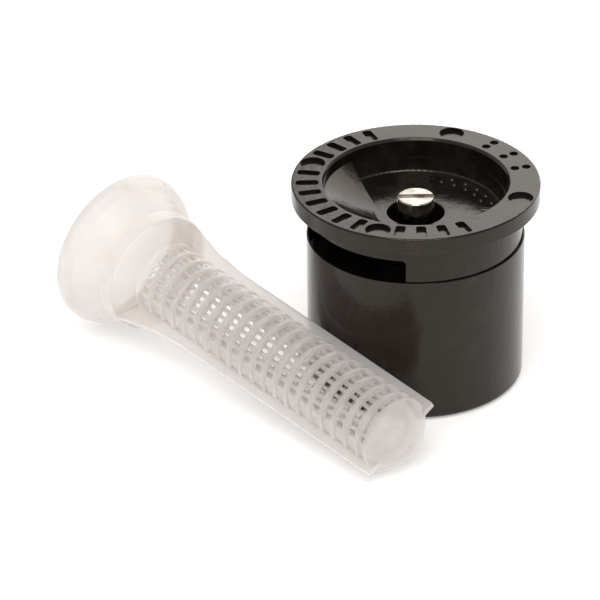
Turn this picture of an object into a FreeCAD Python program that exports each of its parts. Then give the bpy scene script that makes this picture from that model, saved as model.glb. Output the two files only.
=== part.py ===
"""A screw-on spray nozzle for a pop-up sprinkler, with its loose filter screen.

Frame: origin on the nozzle's axis in the plane of its open base, +Z up along that axis.
+X runs level along the filter screen, from its mouth to its closed end.  Millimetres.
"""

import os
from math import atan2, cos, radians, sin, tan

import FreeCAD, Part

Vector = FreeCAD.Vector
Z_AXIS = Vector(0, 0, 1)
ORIGIN = Vector(0, 0, 0)

# nozzle as a whole
NOZZLE_H = 19.6  # base to flange top
FLANGE_R = 11.5
FLANGE_T = 1.6
BODY_R = 10.13
SEAM_Z = 14.3  # top of the body's rim
SPRAY_DIR = 251.5  # degrees, middle of the sprayed half

# riser thread, 5/8 in with 28 threads to the inch
THREAD_MINOR_R = 7.45
THREAD_MAJOR_R = 7.94
THREAD_PITCH = 25.4 / 28
THREAD_FROM_Z, THREAD_TO_Z = 0.4, 6.75
THREAD_START, THREAD_TURNS = 15.0, 10  # degrees, and turns of the cutter
CHAMBER_R = 8.05  # plain chamber over the thread, which takes the screen's mouth
CHAMBER_TOP_Z = 11.2

# partition and socket of the body
PARTITION_TOP_Z = 12.6
SOCKET_R = 9.75  # foot of the tapered socket that takes the cap's collar
RIM_INNER_R = 9.97
CUP_R = 4.1  # inside of the cup under the partition
CUP_FLOOR_Z = 7.9
CUP_FLOOR_T = 0.9
SEAT_R = 1.9
HUB_R = 3.6
ORIFICE_LAND_Z = 11.9

# cap
COLLAR_R = 9.92
COLLAR_FOOT_R = 9.7
COLLAR_INNER_R = 8.5
RECESS_R = 8.68
RECESS_FLOOR_R = 8.15
RECESS_DEPTH = 3.3
RECESS_STEP_DEPTH = 1.9
FLOOR_T = 1.25
WELL_R = 2.62
WELL_FLOOR_Z = 12.5
HUB_BOTTOM_Z = 11.4
BOSS_R = 2.4
BOSS_BOTTOM_Z = 10.9
SCREW_HOLE_R = 1.5
WINDOW_TOP_Z = 16.5
WINDOW_FROM, WINDOW_TO = 213.0, 311.0  # degrees
CONE_CHORD = 2.9  # flat back of the raised deflector, from the axis

# flange marks
MARK_PITCH = 11.25  # degrees between the slots of the sprayed half
SLOT_W, SLOT_DEPTH = 0.92, 0.32
SLOT_FROM_R, SLOT_TO_R = 8.95, 11.05
DIMPLE_R, DIMPLE_AT_R, DIMPLE_DEPTH = 1.17, 10.15, 0.36
PIT_R, PIT_DEPTH = 0.42, 0.25
PIP_R, PIP_H = 0.3, 0.16  # ball of a raised pip, and its height above the floor
GATE_DIR, GATE_R, GATE_DEPTH = 356.5, 1.3, 0.24  # scoop left by the moulding gate

# adjusting screw and its plug
HEAD_R, HEAD_H, HEAD_TOP_Z = 1.73, 3.19, 17.94
SLOT_DIR = 48.0  # degrees
DRIVER_SLOT_W, DRIVER_SLOT_DEPTH = 0.76, 0.45
SCREW_R = 1.45
SCREW_PITCH, SCREW_TURNS = 0.5, 7
SCREW_THREAD_DEPTH = 0.27
STEM_R = 0.85
PLUG_TOP_Z, PLUG_DISC_Z, PLUG_TIP_Z = 10.05, 9.45, 8.45
PLUG_R = 2.5
RUNNING_CLEARANCE = 0.05

# filter screen, with s measured along its axis from the mouth
MOUTH_X, SCREEN_Y = -26.16, -14.4
LAND_S, LAND_R = 0.95, 7.68
SPIGOT_FROM_S, SPIGOT_TO_S, SPIGOT_R = 4.3, 5.95, 5.87
RING_S, RING_PITCH, RING_COUNT = 7.24, 1.585, 20
RING_R, CORE_R, BAR_R, BORE_R = 3.62, 3.4, 3.3, 2.85
BAR_PITCH = 14.2  # degrees
BARS_PER_SIDE = 7
BAR_W = 0.3
END_S, END_R, DOME_H = 38.83, 3.66, 1.82
FIN_T, FIN_TIP_R, FIN_END_S = 0.55, 4.35, 39.56
FIN_TILT = 31.6  # degrees, above the horizontal on the side of the nozzle


def polar(radius, angle, z=0.0):
    """The point at that radius and angle in degrees about the Z axis."""
    return Vector(radius * cos(radians(angle)), radius * sin(radians(angle)), z)


def outline(points):
    """A flat face in the XZ plane.  Each point is (x, z), or (x, z, rounding radius)."""
    corners = [(Vector(p[0], 0, p[1]), p[2] if len(p) > 2 else 0.0) for p in points]
    edges, starts, ends = [], [], []
    for i, (corner, rounding) in enumerate(corners):
        back = (corners[i - 1][0] - corner).normalize()
        ahead = (corners[(i + 1) % len(corners)][0] - corner).normalize()
        if rounding == 0.0:
            starts.append(corner)
            ends.append(corner)
            continue
        half_angle = back.getAngle(ahead) / 2
        reach = rounding / tan(half_angle)
        centre = corner + (back + ahead).normalize() * (rounding / sin(half_angle))
        middle = centre + (corner - centre).normalize() * rounding
        starts.append(corner + back * reach)
        ends.append(corner + ahead * reach)
        edges.append(Part.Arc(starts[-1], middle, ends[-1]).toShape())
    for i, end in enumerate(ends):
        edges.append(Part.LineSegment(end, starts[(i + 1) % len(starts)]).toShape())
    return Part.Face(Part.Wire(Part.__sortEdges__(edges)))


def lathe(points, start=0.0, sweep=360.0):
    """The solid that the outline (radius, z) sweeps about the Z axis from the start angle."""
    face = outline(points)
    face.rotate(ORIGIN, Z_AXIS, start)
    return face.revolve(ORIGIN, Z_AXIS, sweep)


def slab(length, width, height, x=0.0, z=0.0):
    """A box from x to x + length, centred on y = 0, standing on z."""
    return Part.makeBox(length, width, height, Vector(x, -width / 2, z))


def turned(shape, angle):
    copy = shape.copy()
    copy.rotate(ORIGIN, Z_AXIS, angle)
    return copy


def rounded_slab(length, width, height, x, z, rounding):
    """The same box with its four upright edges rounded."""
    box = slab(length, width, height, x, z)
    upright = [e for e in box.Edges if abs(e.tangentAt(e.FirstParameter).z) > 0.99]
    return box.makeFillet(rounding, upright)


def thread_turns(root_r, crest_r, pitch, from_z, count):
    """Single turns of a right-handed 60 degree V ridge, from root_r out or in to crest_r."""
    way = 1 if crest_r > root_r else -1
    half_root = abs(crest_r - root_r) * tan(radians(30)) + pitch / 16
    sunk = root_r - way * 0.04
    half_sunk = half_root + 0.04 * tan(radians(30))
    helix = Part.makeHelix(pitch, pitch, sunk)
    section = Part.makePolygon(
        [
            Vector(sunk, 0, -half_sunk),
            Vector(crest_r, 0, -pitch / 16),
            Vector(crest_r, 0, pitch / 16),
            Vector(sunk, 0, half_sunk),
            Vector(sunk, 0, -half_sunk),
        ]
    )
    first = turned(Part.Wire(helix.Edges).makePipeShell([section], True, True), THREAD_START)
    return [first.translated(Vector(0, 0, from_z + i * pitch)) for i in range(count)]


def half_space(direction, distance, depth=30.0):
    """A block that fills everything further than distance from the axis, that way."""
    block = slab(depth, 2 * depth, 2 * depth, distance, -depth / 2)
    return turned(block, direction)


def nozzle_body():
    skirt = lathe(
        [
            (BODY_R, 0, 0.35),
            (BODY_R, SEAM_Z, 0.06),
            (RIM_INNER_R, SEAM_Z, 0.06),
            (SOCKET_R, PARTITION_TOP_Z),
            (CUP_R, PARTITION_TOP_Z),
            (CUP_R, CUP_FLOOR_Z),
            (SEAT_R, CUP_FLOOR_Z),
            (SEAT_R, CUP_FLOOR_Z - CUP_FLOOR_T),
            (CUP_R + 0.6, CUP_FLOOR_Z - CUP_FLOOR_T, 0.3),
            (CUP_R + 1.1, CHAMBER_TOP_Z, 0.3),
            (CHAMBER_R, CHAMBER_TOP_Z, 0.3),
            (CHAMBER_R, THREAD_TO_Z + 0.6),
            (THREAD_MINOR_R, THREAD_TO_Z),
            (THREAD_MINOR_R, THREAD_FROM_Z),
            (CHAMBER_R + 0.1, 0),
        ]
    )
    # the groove runs out past both chamfers, so its ends cut nothing
    groove = thread_turns(THREAD_MINOR_R, THREAD_MAJOR_R, THREAD_PITCH, -1.3 * THREAD_PITCH, THREAD_TURNS)
    # the half ring closes the orifice round the hub on the side that isn't sprayed
    half_ring = lathe(
        [
            (HUB_R + RUNNING_CLEARANCE, ORIFICE_LAND_Z),
            (CUP_R + 0.2, ORIFICE_LAND_Z),
            (CUP_R + 0.2, PARTITION_TOP_Z),
            (HUB_R + RUNNING_CLEARANCE, PARTITION_TOP_Z),
        ],
        SPRAY_DIR + 90,
        180,
    )
    return skirt.cut(groove).fuse(half_ring)


def moulding_marks():
    """Raised pips and ribs on the recess floor, and engraved pairs of pits on the flange."""
    sunk_z = NOZZLE_H - RECESS_DEPTH + PIP_H - PIP_R
    raised = [
        Part.makeSphere(PIP_R, polar(radius, angle, sunk_z))
        for first, radius in ((60, 7.3), (66, 6.5))
        for angle in range(first, 118, 12)
    ]
    rib = Part.makeCylinder(PIP_R, 1.4, Vector(6.1, 0, sunk_z), Vector(1, 0, 0))
    raised += [turned(rib, angle) for angle in (44, 51, 122)]
    engraved = [
        Part.makeCylinder(PIT_R, 1, polar(radius, angle, NOZZLE_H - PIT_DEPTH))
        for angle in (61, 76.5, 92)
        for radius in (9.5, 10.6)
    ]
    return raised, engraved


def flange_cuts():
    """The band of slots that marks the sprayed half, and four dimples a quarter turn apart."""
    slot = rounded_slab(
        SLOT_TO_R - SLOT_FROM_R, SLOT_W, 1, SLOT_FROM_R, NOZZLE_H - SLOT_DEPTH, 0.3
    )
    dimple_steps = (-12, -4, 4, 12)
    cuts = [
        turned(slot, SPRAY_DIR + step * MARK_PITCH)
        for step in range(-8, 9)
        if step not in dimple_steps
    ]
    for step in dimple_steps:
        centre = polar(DIMPLE_AT_R, SPRAY_DIR + step * MARK_PITCH, NOZZLE_H - DIMPLE_DEPTH)
        cuts.append(Part.makeCylinder(DIMPLE_R, 1, centre))
    return cuts


def spray_window():
    """The notch in the collar, open downwards, with its two upper corners rounded."""
    notch = lathe(
        [
            (COLLAR_INNER_R - 0.6, PARTITION_TOP_Z - 1),
            (COLLAR_R + 1, PARTITION_TOP_Z - 1),
            (COLLAR_R + 1, WINDOW_TOP_Z),
            (COLLAR_INNER_R - 0.6, WINDOW_TOP_Z),
        ],
        WINDOW_FROM,
        WINDOW_TO - WINDOW_FROM,
    )
    corners = [
        e
        for e in notch.Edges
        if e.BoundBox.ZLength < 0.001
        and abs(e.BoundBox.ZMax - WINDOW_TOP_Z) < 0.001
        and e.Curve.TypeId == "Part::GeomLine"
    ]
    return notch.makeFillet(0.4, corners)


def deflector_cap():
    floor_z = NOZZLE_H - RECESS_DEPTH
    flange_bottom = NOZZLE_H - FLANGE_T
    step_z = NOZZLE_H - RECESS_STEP_DEPTH
    cap = lathe(
        [
            (FLANGE_R, NOZZLE_H, 0.17),
            (RECESS_R, NOZZLE_H, 0.14),
            (RECESS_R - 0.16, NOZZLE_H - 0.25, 0.1),
            (RECESS_R - 0.3, step_z),
            (RECESS_R - 0.38, step_z),
            (RECESS_FLOOR_R, floor_z, 0.2),
            (WELL_R, floor_z, 0.12),
            (WELL_R, WELL_FLOOR_Z),
            (SCREW_HOLE_R, WELL_FLOOR_Z),
            (SCREW_HOLE_R, BOSS_BOTTOM_Z),
            (BOSS_R, BOSS_BOTTOM_Z, 0.15),
            (BOSS_R, HUB_BOTTOM_Z),
            (HUB_R, HUB_BOTTOM_Z, 0.15),
            (HUB_R, floor_z - FLOOR_T, 0.3),
            (COLLAR_INNER_R, floor_z - FLOOR_T, 0.3),
            (COLLAR_INNER_R, PARTITION_TOP_Z),
            (COLLAR_FOOT_R, PARTITION_TOP_Z),
            (COLLAR_R, SEAM_Z),
            (COLLAR_R, flange_bottom, 0.12),
            (FLANGE_R, flange_bottom, 0.06),
        ]
    )
    raised_cone = lathe(
        [
            (HUB_R + 0.15, floor_z),
            (5.9, NOZZLE_H - 2.5, 22.0),
            (RECESS_R - 0.05, NOZZLE_H - 1.05),
            (RECESS_R - 0.05, floor_z - 0.4),
            (HUB_R + 0.15, floor_z - 0.4),
        ]
    ).common(half_space(SPRAY_DIR, CONE_CHORD))
    hollow_under_cone = lathe(
        [
            (HUB_R + 0.6, floor_z - FLOOR_T - 0.5),
            (COLLAR_INNER_R - 0.01, floor_z - FLOOR_T - 0.5),
            (COLLAR_INNER_R - 0.01, WINDOW_TOP_Z),
            (HUB_R + 0.6, floor_z - FLOOR_T),
        ]
    ).common(half_space(SPRAY_DIR, CONE_CHORD + 1.2))
    gate_scar = Part.makeSphere(GATE_R, polar(FLANGE_R - GATE_DEPTH + GATE_R, GATE_DIR, NOZZLE_H))
    raised, engraved = moulding_marks()
    cap = cap.fuse([raised_cone, *raised])
    return cap.cut([hollow_under_cone, gate_scar, spray_window(), *flange_cuts(), *engraved])


def adjusting_screw():
    head_bottom = HEAD_TOP_Z - HEAD_H
    stem_top = PLUG_TOP_Z + 0.35
    screw = lathe(
        [
            (0, HEAD_TOP_Z),
            (HEAD_R, HEAD_TOP_Z, 0.16),
            (HEAD_R, head_bottom, 0.1),
            (SCREW_R - SCREW_THREAD_DEPTH, head_bottom),
            (SCREW_R - SCREW_THREAD_DEPTH, stem_top + 0.3),
            (STEM_R, stem_top),
            (STEM_R, PLUG_DISC_Z),
            (STEM_R + 0.2, PLUG_DISC_Z - 0.1),
            (STEM_R + 0.2, PLUG_DISC_Z - 0.3),
            (STEM_R - 0.15, PLUG_DISC_Z - 0.5),
            (0, PLUG_DISC_Z - 0.5),
        ]
    )
    ridge = thread_turns(
        SCREW_R - SCREW_THREAD_DEPTH, SCREW_R, SCREW_PITCH, stem_top + 0.45, SCREW_TURNS
    )
    driver_slot = slab(4, DRIVER_SLOT_W, 2, -2, HEAD_TOP_Z - DRIVER_SLOT_DEPTH)
    return screw.fuse(ridge).cut(turned(driver_slot, SLOT_DIR))


def throttle_plug():
    """A disc with a cone under it, snapped on the screw's beaded stem and free to turn on it."""
    stem = STEM_R + RUNNING_CLEARANCE
    bead = STEM_R + 0.2 + RUNNING_CLEARANCE
    return lathe(
        [
            (stem, PLUG_TOP_Z),
            (PLUG_R, PLUG_TOP_Z, 0.12),
            (PLUG_R, PLUG_DISC_Z),
            (SEAT_R - 0.15, PLUG_DISC_Z),
            (0.9, PLUG_TIP_Z, 0.2),
            (0, PLUG_TIP_Z),
            (0, PLUG_DISC_Z - 0.6),
            (bead, PLUG_DISC_Z - 0.6),
            (bead, PLUG_DISC_Z - 0.06),
            (stem, PLUG_DISC_Z + 0.04),
        ]
    )


def screen_trumpet():
    """Mouth, cone, spigot and shoulder, down to the first ring of the basket."""
    return lathe(
        [
            (LAND_R - 0.75, 0, 0.2),
            (LAND_R, 0, 0.2),
            (LAND_R, LAND_S, 0.2),
            (7.33, 1.95, 0.5),
            (SPIGOT_R, SPIGOT_FROM_S, 0.3),
            (SPIGOT_R, SPIGOT_TO_S, 0.25),
            (RING_R + 0.1, RING_S - 0.3, 0.2),
            (RING_R + 0.1, RING_S + 0.2, 0.15),
            (CORE_R - 0.1, RING_S + 0.4),
            (BORE_R, RING_S + 0.4),
            (BORE_R, 6.5, 0.8),
            (SPIGOT_R - 0.9, SPIGOT_TO_S - 0.3, 0.4),
            (SPIGOT_R - 0.9, SPIGOT_FROM_S + 0.2, 0.3),
            (6.55, 1.95, 0.5),
        ]
    )


def screen_ring(s):
    return lathe(
        [
            (BAR_R - 0.18, s - 0.36),
            (CORE_R, s - 0.36),
            (RING_R, s - 0.2, 0.1),
            (RING_R, s + 0.2, 0.1),
            (CORE_R, s + 0.36),
            (BAR_R - 0.18, s + 0.36),
        ]
    )


def screen_basket_walls():
    """Long bars over the two open sides, and the two plain walls that carry the fins."""
    length = END_S - RING_S
    outermost = (BARS_PER_SIDE // 2) * BAR_PITCH
    bars = [
        turned(slab(BAR_R - BORE_R, BAR_W, length, BORE_R, RING_S), side + step * BAR_PITCH)
        for side in (90, 270)
        for step in range(-(BARS_PER_SIDE // 2), BARS_PER_SIDE // 2 + 1)
    ]
    half_wall = 90 - outermost - BAR_PITCH
    walls = [
        lathe(
            [(BORE_R, RING_S), (CORE_R, RING_S), (CORE_R, END_S), (BORE_R, END_S)],
            side - half_wall,
            2 * half_wall,
        )
        for side in (0, 180)
    ]
    return bars + walls


def screen_fins():
    """Two flat fins in the parting plane, deepest at the spigot, cut square at the end."""
    fin = outline(
        [
            (BORE_R + 0.2, SPIGOT_TO_S + 0.6),
            (SPIGOT_R - 0.2, SPIGOT_TO_S - 0.4),
            (SPIGOT_R - 0.05, SPIGOT_TO_S, 0.2),
            (4.85, 10.0, 6.0),
            (FIN_TIP_R + 0.15, 14.0),
            (FIN_TIP_R, FIN_END_S, 0.1),
            (BORE_R + 0.2, FIN_END_S),
        ]
    ).extrude(Vector(0, FIN_T, 0))
    fin.translate(Vector(0, -FIN_T / 2, 0))
    return [fin, turned(fin, 180)]


def screen_end():
    """The closed end: a short collar and a shallow dome of even thickness."""
    sphere_r = (END_R**2 + DOME_H**2) / (2 * DOME_H)
    centre = Vector(0, 0, END_S + DOME_H - sphere_r)
    wall = 0.9
    plug = Part.makeCylinder(END_R, DOME_H + 1.5, Vector(0, 0, END_S - 0.5))
    dome = plug.common(Part.makeSphere(sphere_r, centre))
    inside = Part.makeCylinder(BORE_R, DOME_H + 1.5, Vector(0, 0, END_S - 0.6)).common(
        Part.makeSphere(sphere_r - wall, centre)
    )
    return dome.cut(inside)


def filter_screen():
    """One moulding, made upright with its fins along X, then laid on the ground beside the nozzle."""
    rings = [screen_ring(RING_S + i * RING_PITCH) for i in range(1, RING_COUNT)]
    screen = screen_trumpet().fuse(
        [*rings, *screen_basket_walls(), *screen_fins(), screen_end()]
    )
    # it lies on the edge of its mouth's land and on the rim of its closed end
    tilt = atan2(LAND_R - END_R, END_S - LAND_S)
    axis = Vector(cos(tilt), 0, -sin(tilt))
    over = Vector(sin(tilt), 0, cos(tilt))
    fin = Vector(0, cos(radians(FIN_TILT)), 0) + over * sin(radians(FIN_TILT))
    side = axis.cross(fin)
    mouth = Vector(MOUTH_X, SCREEN_Y, LAND_R * cos(tilt) + LAND_S * sin(tilt))
    screen.Placement = FreeCAD.Placement(
        FreeCAD.Matrix(
            fin.x, side.x, axis.x, mouth.x,
            fin.y, side.y, axis.y, mouth.y,
            fin.z, side.z, axis.z, mouth.z,
            0, 0, 0, 1,
        )
    )
    return screen


NODES = {
    "nozzle_body": nozzle_body,
    "deflector_cap": deflector_cap,
    "adjusting_screw": adjusting_screw,
    "throttle_plug": throttle_plug,
    "filter_screen": filter_screen,
}

os.makedirs("parts", exist_ok=True)
for name, make in NODES.items():
    shape = make()
    print(name, len(shape.Solids), "solid", shape.isValid(), round(shape.Volume, 1), "mm3")
    shape.exportStep(f"parts/{name}.step")
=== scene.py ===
"""Looks of the spray nozzle and its filter screen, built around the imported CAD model.

Everything is in metres in the part's own frame: origin on the nozzle's axis in the plane of its
base, +Z up, +X along the filter screen.
"""

from math import cos, pi, radians, sin, tan

import bpy
from mathutils import Matrix, Vector

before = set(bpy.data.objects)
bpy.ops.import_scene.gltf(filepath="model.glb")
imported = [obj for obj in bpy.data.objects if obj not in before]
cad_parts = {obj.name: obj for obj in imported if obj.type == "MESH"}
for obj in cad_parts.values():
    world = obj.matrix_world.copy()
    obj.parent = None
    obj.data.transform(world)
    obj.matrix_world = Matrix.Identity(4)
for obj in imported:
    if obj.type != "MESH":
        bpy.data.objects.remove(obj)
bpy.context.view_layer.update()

MM = 0.001

# camera: level direction of sight from +X, angle down from level and roll, in degrees
SIGHT_DIR = 138.02
SIGHT_DOWN = 29.57
ROLL = -0.80
LENS_MM, SENSOR_MM = 217.0, 36
CAMERA_AT = Vector((212.13, -205.41, 174.51)) * MM
NEAR_CLIP, FAR_CLIP = 0.01, 10

# floor: half its side, and how far it lies under the nozzle's base, so that no faces coincide
FLOOR_HALF = 1.5
FLOOR_DROP = 0.2 * MM

# white tent all round, and one dark gap in it: directions in degrees from +X and from level,
# and the angles from the gap's middle at which it is fully dark and fully white
TENT_STRENGTH, GAP_STRENGTH = 0.65, 0.15
GAP_AZIMUTH, GAP_ELEVATION = 80, 64
GAP_INNER, GAP_OUTER = 16, 24

WHITE = (1, 1, 1, 1)
LIGHT_COLOUR = (1.0, 0.97, 0.93)  # slightly warm


# ---------------------------------------------------------------- node helpers


class Nodes:
    """A material's node tree, with short calls to add and join nodes."""

    def __init__(self, name):
        self.material = bpy.data.materials.new(name)
        self.material.use_nodes = True
        self.tree = self.material.node_tree
        self.tree.nodes.clear()
        self.output = self.add("ShaderNodeOutputMaterial")

    def add(self, kind, **settings):
        node = self.tree.nodes.new(kind)
        for key, value in settings.items():
            setattr(node, key, value)
        return node

    def link(self, source, target):
        self.tree.links.new(source, target)

    def set(self, node, **values):
        """Sets inputs to constants. An underscore stands for a space in an input's name."""
        for key, value in values.items():
            node.inputs[key.replace("_", " ")].default_value = value

    def coordinates(self):
        return self.add("ShaderNodeTexCoord").outputs["Object"]

    def noise(self, scale, detail, roughness=0.5):
        node = self.add("ShaderNodeTexNoise")
        self.set(node, Scale=scale, Detail=detail, Roughness=roughness)
        self.link(self.coordinates(), node.inputs["Vector"])
        return node.outputs["Fac"]

    def map_range(self, value, source, target=(0, 1)):
        """Maps the source pair of values on the target pair, and clamps past its ends."""
        node = self.add("ShaderNodeMapRange")
        self.link(value, node.inputs["Value"])
        self.set(node, From_Min=source[0], From_Max=source[1])
        self.set(node, To_Min=target[0], To_Max=target[1])
        return node.outputs["Result"]

    def blend(self, factor, colour_a, colour_b):
        node = self.add("ShaderNodeMix", data_type="RGBA")
        self.link(factor, node.inputs["Factor"])
        self.set(node, A=(*colour_a, 1), B=(*colour_b, 1))
        return node.outputs["Result"]

    def bump(self, height, strength, depth, normal=None):
        """A bump normal, with the height's full depth in metres."""
        node = self.add("ShaderNodeBump")
        self.set(node, Strength=strength, Distance=depth)
        self.link(height, node.inputs["Height"])
        if normal:
            self.link(normal, node.inputs["Normal"])
        return node.outputs["Normal"]


def black_plastic():
    """Glossy black moulding: warm black, with faint flow ripple, grain and handling haze."""
    n = Nodes("black_plastic")
    shader = n.add("ShaderNodeBsdfPrincipled")
    clean, hazed = (0.0058, 0.0045, 0.0034), (0.0150, 0.0122, 0.0100)
    haze = n.map_range(n.noise(520, detail=5, roughness=0.65), (0.48, 0.72))
    n.link(n.blend(haze, clean, hazed), shader.inputs["Base Color"])
    wear = n.noise(700, detail=5, roughness=0.65)
    n.link(n.map_range(wear, (0.3, 0.75), (0.07, 0.22)), shader.inputs["Roughness"])
    n.set(shader, IOR=1.44, Specular_Tint=(1.0, 0.88, 0.78, 1))
    ripple = n.bump(n.noise(300, detail=2, roughness=0.4), 0.12, 0.05 * MM)
    grain = n.bump(n.noise(1300, detail=4, roughness=0.65), 0.8, 0.03 * MM, ripple)
    n.link(grain, shader.inputs["Normal"])
    n.link(shader.outputs["BSDF"], n.output.inputs["Surface"])
    return n.material


def stainless():
    """Turned stainless steel: rings about the axis and slight tarnish."""
    n = Nodes("stainless")
    shader = n.add("ShaderNodeBsdfPrincipled")
    n.set(shader, Metallic=1.0)
    tarnished, bright = (0.38, 0.345, 0.31), (0.64, 0.61, 0.565)
    tone = n.map_range(n.noise(900, detail=4, roughness=0.6), (0.35, 0.65))
    n.link(n.blend(tone, tarnished, bright), shader.inputs["Base Color"])
    wear = n.noise(1500, detail=3)
    n.link(n.map_range(wear, (0.3, 0.7), (0.12, 0.28)), shader.inputs["Roughness"])
    rings = n.add("ShaderNodeTexWave", wave_type="RINGS", rings_direction="Z")
    n.set(rings, Scale=2200.0, Distortion=1.2, Detail=2.0)
    n.link(n.coordinates(), rings.inputs["Vector"])
    n.link(n.bump(rings.outputs["Fac"], 0.25, 0.02 * MM), shader.inputs["Normal"])
    n.link(shader.outputs["BSDF"], n.output.inputs["Surface"])
    return n.material


def plug_plastic():
    """Dull black acetal of the hidden throttle plug."""
    n = Nodes("plug_plastic")
    shader = n.add("ShaderNodeBsdfPrincipled")
    dark, light = (0.035, 0.034, 0.033), (0.06, 0.058, 0.056)
    n.link(n.blend(n.noise(500, detail=3), dark, light), shader.inputs["Base Color"])
    wear = n.noise(900, detail=3)
    n.link(n.map_range(wear, (0.3, 0.7), (0.45, 0.6)), shader.inputs["Roughness"])
    n.link(n.bump(n.noise(1800, detail=2), 0.15, 0.03 * MM), shader.inputs["Normal"])
    n.link(shader.outputs["BSDF"], n.output.inputs["Surface"])
    return n.material


def screen_plastic():
    """Natural polypropylene: clear enough to show what is behind it, and milky at its edges."""
    n = Nodes("screen_plastic")
    shader = n.add("ShaderNodeBsdfPrincipled")
    grey, milky = (0.70, 0.66, 0.638), (0.79, 0.755, 0.732)
    clouds = n.map_range(n.noise(180, detail=4, roughness=0.55), (0.3, 0.7))
    n.link(n.blend(clouds, grey, milky), shader.inputs["Base Color"])
    wear = n.noise(700, detail=3)
    n.link(n.map_range(wear, (0.3, 0.7), (0.26, 0.4)), shader.inputs["Roughness"])
    n.set(shader, IOR=1.45, Subsurface_Weight=1.0, Subsurface_Scale=2.5 * MM)
    n.set(shader, Subsurface_Radius=(1.0, 0.9, 0.85))
    n.link(n.bump(n.noise(350, detail=2), 0.3, 0.04 * MM), shader.inputs["Normal"])
    clear = n.add("ShaderNodeBsdfTransparent")
    n.set(clear, Color=(0.94, 0.918, 0.905, 1))
    # a wall seen square on is clearest, and one seen along its face hides most behind it
    edge = n.add("ShaderNodeLayerWeight")
    wall = n.add("ShaderNodeMixShader")
    clearness = n.map_range(edge.outputs["Facing"], (0.25, 0.95), (0.60, 0.10))
    n.link(clearness, wall.inputs["Fac"])
    n.link(shader.outputs["BSDF"], wall.inputs[1])
    n.link(clear.outputs["BSDF"], wall.inputs[2])
    n.link(wall.outputs["Shader"], n.output.inputs["Surface"])
    return n.material


def floor_material():
    """White sweep that also glows a little, as a lit acrylic table does."""
    n = Nodes("floor")
    shader = n.add("ShaderNodeBsdfPrincipled")
    n.set(shader, Base_Color=(0.78, 0.78, 0.78, 1), Roughness=0.8, Specular_IOR_Level=0.0)
    n.set(shader, Emission_Color=WHITE, Emission_Strength=0.33)
    n.link(shader.outputs["BSDF"], n.output.inputs["Surface"])
    return n.material


# ---------------------------------------------------------------- the set


def make_camera():
    camera = bpy.data.cameras.new("camera")
    camera.lens = LENS_MM
    camera.sensor_width = SENSOR_MM
    camera.clip_start, camera.clip_end = NEAR_CLIP, FAR_CLIP
    obj = bpy.data.objects.new("camera", camera)
    level = Vector((cos(radians(SIGHT_DIR)), sin(radians(SIGHT_DIR)), 0))
    ahead = level * cos(radians(SIGHT_DOWN)) - Vector((0, 0, sin(radians(SIGHT_DOWN))))
    right = ahead.cross(Vector((0, 0, 1))).normalized()
    up = right.cross(ahead)
    roll = radians(ROLL)
    right, up = right * cos(roll) + up * sin(roll), up * cos(roll) - right * sin(roll)
    turn = Matrix((right, up, -ahead)).transposed()
    obj.matrix_world = Matrix.Translation(CAMERA_AT) @ turn.to_4x4()
    bpy.context.scene.collection.objects.link(obj)
    bpy.context.scene.camera = obj


def softbox(name, azimuth, elevation, distance, size, radiance):
    """A rectangular area light that faces the nozzle's base, with its radiance seen from there.

    Azimuth and elevation are in degrees, distance and size in metres.
    """
    light = bpy.data.lights.new(name, "AREA")
    light.shape = "RECTANGLE"
    light.size, light.size_y = size
    light.energy = radiance * pi * size[0] * size[1]
    light.color = LIGHT_COLOUR
    obj = bpy.data.objects.new(name, light)
    flat = cos(radians(elevation)) * distance
    height = sin(radians(elevation)) * distance
    obj.location = (cos(radians(azimuth)) * flat, sin(radians(azimuth)) * flat, height)
    obj.rotation_euler = (-obj.location).to_track_quat("-Z", "Y").to_euler()
    bpy.context.scene.collection.objects.link(obj)


def make_floor():
    half = FLOOR_HALF
    mesh = bpy.data.meshes.new("floor")
    mesh.from_pydata(
        [(-half, -half, 0), (half, -half, 0), (half, half, 0), (-half, half, 0)],
        [],
        [(0, 1, 2, 3)],
    )
    mesh.materials.append(floor_material())
    floor = bpy.data.objects.new("floor", mesh)
    floor.location.z = -FLOOR_DROP
    bpy.context.scene.collection.objects.link(floor)


def make_world():
    """The white tent, with a dark gap above and behind the nozzle."""
    world = bpy.data.worlds.new("studio")
    world.use_nodes = True
    tree = world.node_tree
    background = tree.nodes["Background"]
    background.inputs["Color"].default_value = WHITE
    azimuth, elevation = radians(GAP_AZIMUTH), radians(GAP_ELEVATION)
    gap = Vector((cos(azimuth), sin(azimuth), tan(elevation)))
    towards = tree.nodes.new("ShaderNodeVectorMath")
    towards.operation = "DOT_PRODUCT"
    towards.inputs[1].default_value = gap.normalized()
    fade = tree.nodes.new("ShaderNodeMapRange")
    fade.inputs["From Min"].default_value = cos(radians(GAP_OUTER))
    fade.inputs["From Max"].default_value = cos(radians(GAP_INNER))
    fade.inputs["To Min"].default_value = TENT_STRENGTH
    fade.inputs["To Max"].default_value = GAP_STRENGTH
    coordinates = tree.nodes.new("ShaderNodeTexCoord")
    tree.links.new(coordinates.outputs["Generated"], towards.inputs[0])
    tree.links.new(towards.outputs["Value"], fade.inputs["Value"])
    tree.links.new(fade.outputs["Result"], background.inputs["Strength"])
    bpy.context.scene.world = world


def dress(node, material):
    """Gives a piece its material. Its mesh stays as it is."""
    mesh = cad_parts[node].data
    mesh.materials.clear()
    mesh.materials.append(material)


black = black_plastic()
dress("nozzle_body", black)
dress("deflector_cap", black)
dress("adjusting_screw", stainless())
dress("throttle_plug", plug_plastic())
dress("filter_screen", screen_plastic())

make_camera()
make_floor()
make_world()
softbox("back", azimuth=112, elevation=27, distance=0.4, size=(0.36, 0.27), radiance=1.65)
softbox("front", azimuth=316, elevation=58, distance=0.6, size=(0.4, 0.4), radiance=4.4)
bpy.context.scene.view_settings.view_transform = "Standard"
